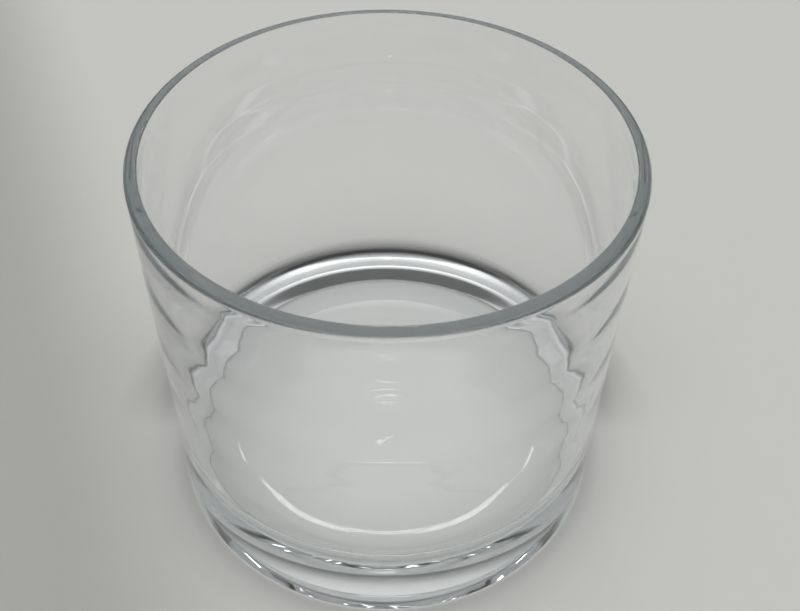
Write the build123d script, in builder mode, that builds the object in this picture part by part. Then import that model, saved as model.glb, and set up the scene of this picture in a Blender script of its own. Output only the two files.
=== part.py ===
"""Tall glass dish with a thick base that sweeps up into its wall, open at the top, formed in one piece.

One closed solid of revolution about +Z.  The origin is the centre of the
plane that the dish stands on, so z = 0 is the resting ring under its base.
All sizes are in millimetres.
"""

import os

from build123d import *

# Driving dimensions
outer_diameter = 200.0
height = 180.0
wall = 4.8  # below the lip
lip_wall = 5.3
lip_straight = 8.0  # how far the lip keeps its thickness, from the rim down
lip_fade = 26.0  # and over what height it then thins to the wall
floor_middle = 20.3  # height of the inside floor at its middle
floor_edge = 23.7  # and where the sweep up to the wall begins
sweep_start = 70.8  # radius where the floor ends and the sweep begins
sweep_top = 45.3  # height where the sweep meets the wall
floor_fullness = 0.51  # how far the sweep holds on to the floor's direction
wall_fullness = 0.6  # and to the wall's
heel_radius = 1.2
resting_ring_width = 16.7
punt_depth = 5.2
crown_reach = 0.58  # how far the punt's crown holds level, as a share of its radius
shoulder_place = 0.77  # where its side turns down, as shares of its radius
shoulder_height = 0.58  # and of its depth
rim_outer_radius = 3.0
rim_inner_radius = 0.8

# Derived places
outer_radius = outer_diameter / 2
inner_radius = outer_radius - wall
lip_radius = outer_radius - lip_wall
lip_bottom = height - lip_straight
fade_middle = lip_bottom - lip_fade / 2
fade_bottom = lip_bottom - lip_fade
ring_inner_radius = outer_radius - heel_radius - resting_ring_width
floor_slope = 2 * (floor_edge - floor_middle) / sweep_start
sweep_run = floor_fullness * (inner_radius - sweep_start)
sweep_drop = wall_fullness * (sweep_top - floor_edge)

with BuildPart() as dish:
    with BuildSketch(Plane.XZ) as section:
        with BuildLine():
            punt = Bezier(
                (0, punt_depth),
                (ring_inner_radius * crown_reach, punt_depth),
                (ring_inner_radius * shoulder_place, punt_depth * shoulder_height),
                (ring_inner_radius, 0),
            )
            Polyline(punt @ 1, (outer_radius, 0), (outer_radius, height), (lip_radius, height))
            Line((lip_radius, height), (lip_radius, lip_bottom))
            lip_thinning = Bezier(
                (lip_radius, lip_bottom),
                (lip_radius, fade_middle),
                (inner_radius, fade_middle),
                (inner_radius, fade_bottom),
            )
            Line(lip_thinning @ 1, (inner_radius, sweep_top))
            sweep_up = Bezier(
                (inner_radius, sweep_top),
                (inner_radius, sweep_top - sweep_drop),
                (sweep_start + sweep_run, floor_edge + floor_slope * sweep_run),
                (sweep_start, floor_edge),
            )
            inside_floor = Bezier(sweep_up @ 1, (sweep_start / 2, floor_middle), (0, floor_middle))
            Line(inside_floor @ 1, punt @ 0)
        make_face()
        corners = section.vertices()
        outer_corners = corners.filter_by_position(Axis.X, outer_radius, outer_radius)
        heel_corner, rim_outer_corner = outer_corners.sort_by(Axis.Y)
        rim_inner_corner = corners.group_by(Axis.Y)[-1].sort_by(Axis.X)[0]
        fillet(heel_corner, radius=heel_radius)
        fillet(rim_outer_corner, radius=rim_outer_radius)
        fillet(rim_inner_corner, radius=rim_inner_radius)
    revolve(axis=Axis.Z)
dish.part.label = "dish"

os.makedirs("parts", exist_ok=True)
export_step(dish.part, "parts/dish.step")
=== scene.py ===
"""A tall dish of clear glass with a thick base, on a pale bench under soft studio light.

Metres, +Z up, in the frame of the CAD model.  The glass is one solid turned
about Z.  Its section follows the CAD's, with the faint relief that hand-worked
glass has: a bead under the lip, waves and fine rings on the inside of the
wall, a swirl on the floor and rings on the crown of the punt.
"""

import math

import bpy
from mathutils import Matrix, Vector


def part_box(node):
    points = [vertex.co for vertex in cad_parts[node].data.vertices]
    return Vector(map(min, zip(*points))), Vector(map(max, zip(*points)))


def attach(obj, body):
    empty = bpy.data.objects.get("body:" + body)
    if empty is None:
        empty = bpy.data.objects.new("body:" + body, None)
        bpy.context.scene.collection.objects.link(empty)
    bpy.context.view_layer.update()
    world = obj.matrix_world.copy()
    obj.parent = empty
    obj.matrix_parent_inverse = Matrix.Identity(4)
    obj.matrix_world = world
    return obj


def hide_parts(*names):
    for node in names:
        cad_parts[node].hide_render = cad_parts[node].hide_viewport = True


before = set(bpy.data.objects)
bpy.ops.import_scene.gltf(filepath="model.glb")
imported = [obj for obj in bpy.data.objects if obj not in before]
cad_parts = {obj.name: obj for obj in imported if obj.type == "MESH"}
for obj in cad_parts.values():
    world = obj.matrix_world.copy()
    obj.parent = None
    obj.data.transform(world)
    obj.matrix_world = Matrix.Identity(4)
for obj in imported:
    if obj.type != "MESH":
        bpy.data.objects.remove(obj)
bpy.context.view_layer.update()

MM = 0.001

# ------------------------------------------------------------------ the dish's sizes
DISH_LOW, DISH_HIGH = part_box("dish")
OUTER_RADIUS = (DISH_HIGH[0] - DISH_LOW[0]) / 2
HEIGHT = DISH_HIGH[2] - DISH_LOW[2]
WALL = 4.8 * MM
LIP_WALL = 5.3 * MM
LIP_FADE = 14.0 * MM  # how fast the lip's extra thickness dies away below the rim
FLOOR_MIDDLE = 20.3 * MM
FLOOR_EDGE = 23.7 * MM
CORNER_START = 70.8 * MM
CORNER_TOP = 45.3 * MM
FLOOR_FULLNESS = 0.51  # how far the swept corner holds on to the floor's direction
WALL_FULLNESS = 0.6  # and to the wall's
HEEL = 1.2 * MM
RING_WIDTH = 16.7 * MM
PUNT = 5.2 * MM
CROWN_LEVEL = 0.58  # how far the punt's crown holds level, as a share of its radius
SHOULDER_PLACE = 0.768  # where its side turns down, as shares of its radius
SHOULDER_HEIGHT = 0.58  # and of its depth
RIM_OUTER_EDGE = 3.0 * MM
RIM_INNER_EDGE = 0.8 * MM

INNER_RADIUS = OUTER_RADIUS - WALL
LIP_RADIUS = OUTER_RADIUS - LIP_WALL
RING_INNER = OUTER_RADIUS - HEEL - RING_WIDTH

# Steps along each stretch of the section, and round the axis
PUNT_STEPS = 60
RING_STEPS = 2
HEEL_STEPS = 12
OUTSIDE_STEPS = 4
RIM_OUTER_STEPS = 12
RIM_INNER_STEPS = 8
INSIDE_STEPS = 105
CORNER_STEPS = 64
FLOOR_STEPS = 24
SEGMENTS = 320

# Relief: how deep, how far from one crest to the next, and how far it reaches
WAVE_DEPTH = 0.32 * MM
WAVE_PITCH = 30.0 * MM
WAVE_FADE = 45.0 * MM
RIPPLE_DEPTH = 0.02 * MM
RIPPLE_PITCH = 8.5 * MM
WAVE_WANDER = 0.5  # how far the crests stray from level round the wall, in radians of a wave
WANDER_TURNS = 2
WANDER_START = 1.0
RIPPLE_WANDER = 3  # how much more the ripples stray than the waves
SWIRL_DEPTH = 0.0015 * MM
SWIRL_PITCH = 9.0 * MM
CROWN_RING_DEPTH = 0.12 * MM
CROWN_RING_PITCH = 9.5 * MM
CROWN_REACH = 38.0 * MM


def bore(z):
    """Radius of the inside of the straight wall, which closes in a little at the lip."""
    below = (HEIGHT - z) / LIP_FADE
    return INNER_RADIUS - (LIP_WALL - WALL) * math.exp(-below * below / 2)


def worked(r, z, angle):
    """A point of the section, moved by the rings that forming left on the wall, floor and punt."""
    below = HEIGHT - z
    if z > CORNER_TOP and r < OUTER_RADIUS - WALL / 2 and below > RIM_INNER_EDGE:
        wander = WAVE_WANDER * math.sin(WANDER_TURNS * angle + WANDER_START)
        wave = WAVE_DEPTH * math.sin(2 * math.pi * below / WAVE_PITCH + wander)
        stray = RIPPLE_WANDER * wander
        ripple = RIPPLE_DEPTH * math.sin(2 * math.pi * below / RIPPLE_PITCH + stray)
        r += (wave + ripple) * math.exp(-below / WAVE_FADE) * min(1, below / RIPPLE_PITCH)
    elif PUNT < z < CORNER_TOP and r < CORNER_START:
        z += SWIRL_DEPTH * math.sin(2 * math.pi * r / SWIRL_PITCH + angle) * min(1, r / SWIRL_PITCH)
    elif z <= PUNT and r < CROWN_REACH:
        fade = min(1, r / CROWN_RING_PITCH, (CROWN_REACH - r) / CROWN_RING_PITCH)
        z += CROWN_RING_DEPTH * math.sin(2 * math.pi * r / CROWN_RING_PITCH + angle) * fade
    return r, z


def between(start, end, share):
    """The point that lies a share of the way from start to end."""
    return tuple(a + (b - a) * share for a, b in zip(start, end))


def straight(start, end, steps):
    """Points along a line, without its last point."""
    return [between(start, end, i / steps) for i in range(steps)]


def curve(poles, steps):
    """Points along a Bezier curve, without its last point."""
    points = []
    for i in range(steps):
        level = poles
        while len(level) > 1:
            level = [between(a, b, i / steps) for a, b in zip(level, level[1:])]
        points.append(level[0])
    return points


def quarter(centre, radius, start, steps):
    """Points on a quarter circle from the angle start, in degrees, without its last point."""
    turns = [math.radians(start + 90 * i / steps) for i in range(steps)]
    return [(centre[0] + radius * math.cos(t), centre[1] + radius * math.sin(t)) for t in turns]


def section():
    """Half of the section, as (radius, height), from beside the axis underneath to the floor."""
    punt_poles = [
        (0.0, PUNT),
        (RING_INNER * CROWN_LEVEL, PUNT),
        (RING_INNER * SHOULDER_PLACE, PUNT * SHOULDER_HEIGHT),
        (RING_INNER, 0.0),
    ]
    floor_slope = 2 * (FLOOR_EDGE - FLOOR_MIDDLE) / CORNER_START
    inward = FLOOR_FULLNESS * (INNER_RADIUS - CORNER_START)
    downward = WALL_FULLNESS * (CORNER_TOP - FLOOR_EDGE)
    corner_poles = [
        (INNER_RADIUS, CORNER_TOP),
        (INNER_RADIUS, CORNER_TOP - downward),
        (CORNER_START + inward, FLOOR_EDGE + floor_slope * inward),
        (CORNER_START, FLOOR_EDGE),
    ]
    floor_poles = [(CORNER_START, FLOOR_EDGE), (CORNER_START / 2, FLOOR_MIDDLE), (0.0, FLOOR_MIDDLE)]
    rim_outer = (OUTER_RADIUS - RIM_OUTER_EDGE, HEIGHT - RIM_OUTER_EDGE)
    rim_inner = (LIP_RADIUS + RIM_INNER_EDGE, HEIGHT - RIM_INNER_EDGE)
    points = curve(punt_poles, PUNT_STEPS)[1:]
    points += straight((RING_INNER, 0.0), (OUTER_RADIUS - HEEL, 0.0), RING_STEPS)
    points += quarter((OUTER_RADIUS - HEEL, HEEL), HEEL, -90, HEEL_STEPS)
    points += straight((OUTER_RADIUS, HEEL), (OUTER_RADIUS, rim_outer[1]), OUTSIDE_STEPS)
    points += quarter(rim_outer, RIM_OUTER_EDGE, 0, RIM_OUTER_STEPS)
    points += quarter(rim_inner, RIM_INNER_EDGE, 90, RIM_INNER_STEPS)
    down_the_wall = straight((0.0, rim_inner[1]), (0.0, CORNER_TOP), INSIDE_STEPS)
    points += [(bore(z), z) for _, z in down_the_wall]
    points += curve(corner_poles, CORNER_STEPS)
    points += curve(floor_poles, FLOOR_STEPS)
    return points


def lathe(name, profile):
    """A closed solid of revolution from a section that starts and ends beside the axis."""
    vertices = [(0.0, 0.0, PUNT)]
    for r, z in profile:
        for s in range(SEGMENTS):
            angle = 2 * math.pi * s / SEGMENTS
            radius, height = worked(r, z, angle)
            vertices.append((radius * math.cos(angle), radius * math.sin(angle), height))
    vertices.append((0.0, 0.0, FLOOR_MIDDLE))
    top = len(vertices) - 1
    last_ring = 1 + (len(profile) - 1) * SEGMENTS
    faces = []
    for s in range(SEGMENTS):
        n = (s + 1) % SEGMENTS
        faces.append((0, 1 + n, 1 + s))
        for k in range(len(profile) - 1):
            a = 1 + k * SEGMENTS
            b = a + SEGMENTS
            faces.append((a + s, a + n, b + n, b + s))
        faces.append((last_ring + s, last_ring + n, top))
    mesh = bpy.data.meshes.new(name)
    mesh.from_pydata(vertices, [], faces)
    mesh.polygons.foreach_set("use_smooth", [True] * len(mesh.polygons))
    mesh.update()
    piece = bpy.data.objects.new(name, mesh)
    bpy.context.scene.collection.objects.link(piece)
    return piece


# ------------------------------------------------------------------ materials
def ramp(nodes, stops):
    """A colour ramp through (place, level) stops."""
    node = nodes.new("ShaderNodeValToRGB")
    elements = node.color_ramp.elements
    for n, (place, level) in enumerate(stops):
        stop = elements[n] if n < 2 else elements.new(place)
        stop.position = place
        stop.color = (level, level, level, 1)
    return node


def mix(nodes, links, kind, factor, first, second):
    """The output of a colour mix of two sockets or colours."""
    node = nodes.new("ShaderNodeMix")
    node.data_type, node.blend_type = "RGBA", kind
    for name, value in (("Factor", factor), ("A", first), ("B", second)):
        socket = next(s for s in node.inputs if s.name == name and s.enabled)
        if isinstance(value, bpy.types.NodeSocket):
            links.new(value, socket)
        else:
            socket.default_value = value
    return next(s for s in node.outputs if s.enabled)


GLASS_IOR = 1.52
ABSORPTION = 7.6
ABSORPTION_TINT = (0.325, 0.375, 0.398, 1)


def glass_material():
    """Clear glass with a faint cool tint that only a long way through it shows."""
    material = bpy.data.materials.new("clear_glass")
    material.use_nodes = True
    nodes, links = material.node_tree.nodes, material.node_tree.links
    shader = nodes["Principled BSDF"]
    shader.inputs["Base Color"].default_value = (1, 1, 1, 1)
    shader.inputs["Roughness"].default_value = 0.0
    shader.inputs["IOR"].default_value = GLASS_IOR
    shader.inputs["Transmission Weight"].default_value = 1.0
    absorb = nodes.new("ShaderNodeVolumeAbsorption")
    absorb.inputs["Color"].default_value = ABSORPTION_TINT
    absorb.inputs["Density"].default_value = ABSORPTION
    links.new(absorb.outputs["Volume"], nodes["Material Output"].inputs["Volume"])
    return material


BENCH_COLOUR = (0.86, 0.865, 0.83, 1)
BENCH_ROUGHNESS = 0.7
BENCH_SPECULAR = 0.2
SHADE_REACH = 0.2  # distance from the axis at the ramps' right end
# Painted light and shade in the bench's colour by distance from the axis, in front: lighter under the
# glass, a painted shadow just outside the foot
FOOT_SHADE = [
    (0.0, 0.92),
    (0.30, 0.94),
    (0.42, 1.0),
    (0.49, 1.0),
    (0.505, 0.60),
    (0.54, 0.70),
    (0.60, 0.735),
    (1.0, 0.735),
]
# The same behind the dish, with a far darker painted shadow just outside the foot
BACK_SHADE = [
    (0.0, 0.92),
    (0.30, 0.94),
    (0.42, 1.0),
    (0.49, 1.0),
    (0.51, 0.05),
    (0.57, 0.07),
    (0.62, 0.45),
    (0.70, 0.70),
    (1.0, 0.735),
]
BACK_SHADE_FADE = (0.0, 0.05)  # Y over which the front's ramp gives way to the back's
# Painted shade on the bench's left side, down to SIDE_SHADE of its colour
SIDE_SHADE = 0.68
SIDE_FADE = (-0.18, -0.08)  # X over which the bench lightens from its dim left side
SIDE_SLANT = 0.4  # how far that edge leans, in X for each metre of Y


def bench_material():
    """Pale board with light and shade painted into its colour: lighter under the glass, a close shadow
    round the foot, one side dim.
    """
    material = bpy.data.materials.new("pale_bench")
    material.use_nodes = True
    nodes, links = material.node_tree.nodes, material.node_tree.links
    shader = nodes["Principled BSDF"]
    shader.inputs["Roughness"].default_value = BENCH_ROUGHNESS
    shader.inputs["Specular IOR Level"].default_value = BENCH_SPECULAR
    place = nodes.new("ShaderNodeTexCoord")
    distance = nodes.new("ShaderNodeVectorMath")
    distance.operation = "LENGTH"
    links.new(place.outputs["Object"], distance.inputs[0])
    reach = nodes.new("ShaderNodeMapRange")
    reach.inputs["From Max"].default_value = SHADE_REACH
    links.new(distance.outputs["Value"], reach.inputs["Value"])
    # Painted light under the glass and painted shadow round the foot, from the distance to the axis
    front, behind = ramp(nodes, FOOT_SHADE), ramp(nodes, BACK_SHADE)
    links.new(reach.outputs["Result"], front.inputs["Fac"])
    links.new(reach.outputs["Result"], behind.inputs["Fac"])
    split = nodes.new("ShaderNodeSeparateXYZ")
    links.new(place.outputs["Object"], split.inputs["Vector"])
    depth = nodes.new("ShaderNodeMapRange")
    depth.inputs["From Min"].default_value, depth.inputs["From Max"].default_value = BACK_SHADE_FADE
    links.new(split.outputs["Y"], depth.inputs["Value"])
    shade = mix(
        nodes, links, "MIX", depth.outputs["Result"], front.outputs["Color"], behind.outputs["Color"]
    )
    # Painted shade that dims the bench's left side
    side = nodes.new("ShaderNodeMapRange")
    side.interpolation_type = "SMOOTHSTEP"
    side.inputs["From Min"].default_value, side.inputs["From Max"].default_value = SIDE_FADE
    side.inputs["To Min"].default_value = SIDE_SHADE
    across = nodes.new("ShaderNodeMath")
    across.operation = "MULTIPLY_ADD"
    across.inputs[1].default_value = SIDE_SLANT
    links.new(split.outputs["Y"], across.inputs[0])
    links.new(split.outputs["X"], across.inputs[2])
    links.new(across.outputs["Value"], side.inputs["Value"])
    lit = mix(nodes, links, "MULTIPLY", 1.0, BENCH_COLOUR, side.outputs["Result"])
    colour = mix(nodes, links, "MULTIPLY", 1.0, lit, shade)
    links.new(colour, shader.inputs["Base Color"])
    return material


dish = lathe("dish_glass", section())
dish.data.materials.append(glass_material())
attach(dish, "root")
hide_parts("dish")

# ------------------------------------------------------------------ bench
BENCH_SIZE = 6.0
BENCH_GAP = 0.15 * MM
bpy.ops.mesh.primitive_plane_add(size=BENCH_SIZE, location=(0, 0, -BENCH_GAP))
bench = bpy.context.object
bench.name = "bench"
bench.data.materials.append(bench_material())

# ------------------------------------------------------------------ camera
LENS = 45.7
SENSOR_WIDTH = 36
RIM_DISTANCE = 3.93 * OUTER_RADIUS
ELEVATION = math.radians(37.1)
PAN, TILT, ROLL = math.radians(-0.72), math.radians(-9.1), math.radians(-0.5)


def aim_camera():
    """Looks down on the rim from the front, then turns a little to frame the base as well."""
    back = Vector((0, -math.cos(ELEVATION), math.sin(ELEVATION)))
    data = bpy.data.cameras.new("camera")
    data.lens = LENS
    data.sensor_width = SENSOR_WIDTH
    camera = bpy.data.objects.new("camera", data)
    bpy.context.scene.collection.objects.link(camera)
    aim = (-back).to_track_quat("-Z", "Y").to_matrix().to_4x4()
    turn = Matrix.Rotation(PAN, 4, "Y") @ Matrix.Rotation(TILT, 4, "X") @ Matrix.Rotation(-ROLL, 4, "Z")
    place = Vector((0, 0, HEIGHT)) + back * RIM_DISTANCE
    camera.matrix_world = Matrix.Translation(place) @ aim @ turn
    bpy.context.scene.camera = camera


aim_camera()

# ------------------------------------------------------------------ light
# Each ramp runs from the horizon, 0, to the zenith, 1, by the sine of the elevation
FAR_SKY = [(0.0, 0.08), (0.22, 0.12), (0.42, 0.85), (1.0, 0.95)]
NEAR_SKY = [(0.0, 0.03), (0.40, 0.05), (0.50, 1.9), (0.66, 1.8), (0.78, 0.95), (1.0, 0.95)]
NEAR_TO_FAR = (-0.60, -0.10)
SKY_STRENGTH = 0.94
WINDOW_AZIMUTH = 0.0
WINDOW_ELEVATION = math.radians(44.0)
WINDOW_DISTANCE = 1.5
WINDOW_SIZE = (0.10, 0.18)
WINDOW_RADIANCE = 7.5


def studio_sky():
    """A soft room, dim near the horizon, with a brighter band above that on the camera's side."""
    world = bpy.data.worlds.new("studio")
    bpy.context.scene.world = world
    world.use_nodes = True
    nodes, links = world.node_tree.nodes, world.node_tree.links
    place = nodes.new("ShaderNodeTexCoord")
    split = nodes.new("ShaderNodeSeparateXYZ")
    links.new(place.outputs["Generated"], split.inputs["Vector"])
    far, near = ramp(nodes, FAR_SKY), ramp(nodes, NEAR_SKY)
    links.new(split.outputs["Z"], far.inputs["Fac"])
    links.new(split.outputs["Z"], near.inputs["Fac"])
    depth = nodes.new("ShaderNodeMapRange")
    depth.interpolation_type = "SMOOTHSTEP"
    depth.inputs["From Min"].default_value, depth.inputs["From Max"].default_value = NEAR_TO_FAR
    links.new(split.outputs["Y"], depth.inputs["Value"])
    grey = mix(nodes, links, "MIX", depth.outputs["Result"], near.outputs["Color"], far.outputs["Color"])
    links.new(grey, nodes["Background"].inputs["Color"])
    nodes["Background"].inputs["Strength"].default_value = SKY_STRENGTH


def panel(name, azimuth, elevation, distance, size, radiance):
    """A rectangular soft light that faces the dish; azimuth 0 is straight behind it."""
    data = bpy.data.lights.new(name, "AREA")
    data.shape = "RECTANGLE"
    data.size, data.size_y = size
    data.energy = radiance * math.pi * size[0] * size[1]
    light = bpy.data.objects.new(name, data)
    away = Vector(
        (
            math.sin(azimuth) * math.cos(elevation),
            math.cos(azimuth) * math.cos(elevation),
            math.sin(elevation),
        )
    )
    light.location = away * distance
    light.rotation_euler = away.to_track_quat("Z", "Y").to_euler()
    bpy.context.scene.collection.objects.link(light)


studio_sky()
panel("window", WINDOW_AZIMUTH, WINDOW_ELEVATION, WINDOW_DISTANCE, WINDOW_SIZE, WINDOW_RADIANCE)

# ------------------------------------------------------------------ render settings
GLASS_BOUNCES = 128  # light that the wall guides down from the rim turns back this often
DIFFUSE_BOUNCES = 8
scene = bpy.context.scene
scene.cycles.use_denoising = True
scene.cycles.max_bounces = GLASS_BOUNCES
scene.cycles.transmission_bounces = GLASS_BOUNCES
scene.cycles.glossy_bounces = GLASS_BOUNCES
scene.cycles.diffuse_bounces = DIFFUSE_BOUNCES
scene.cycles.caustics_reflective = True
scene.cycles.caustics_refractive = True
scene.cycles.blur_glossy = 0.0
scene.view_settings.view_transform = "Standard"
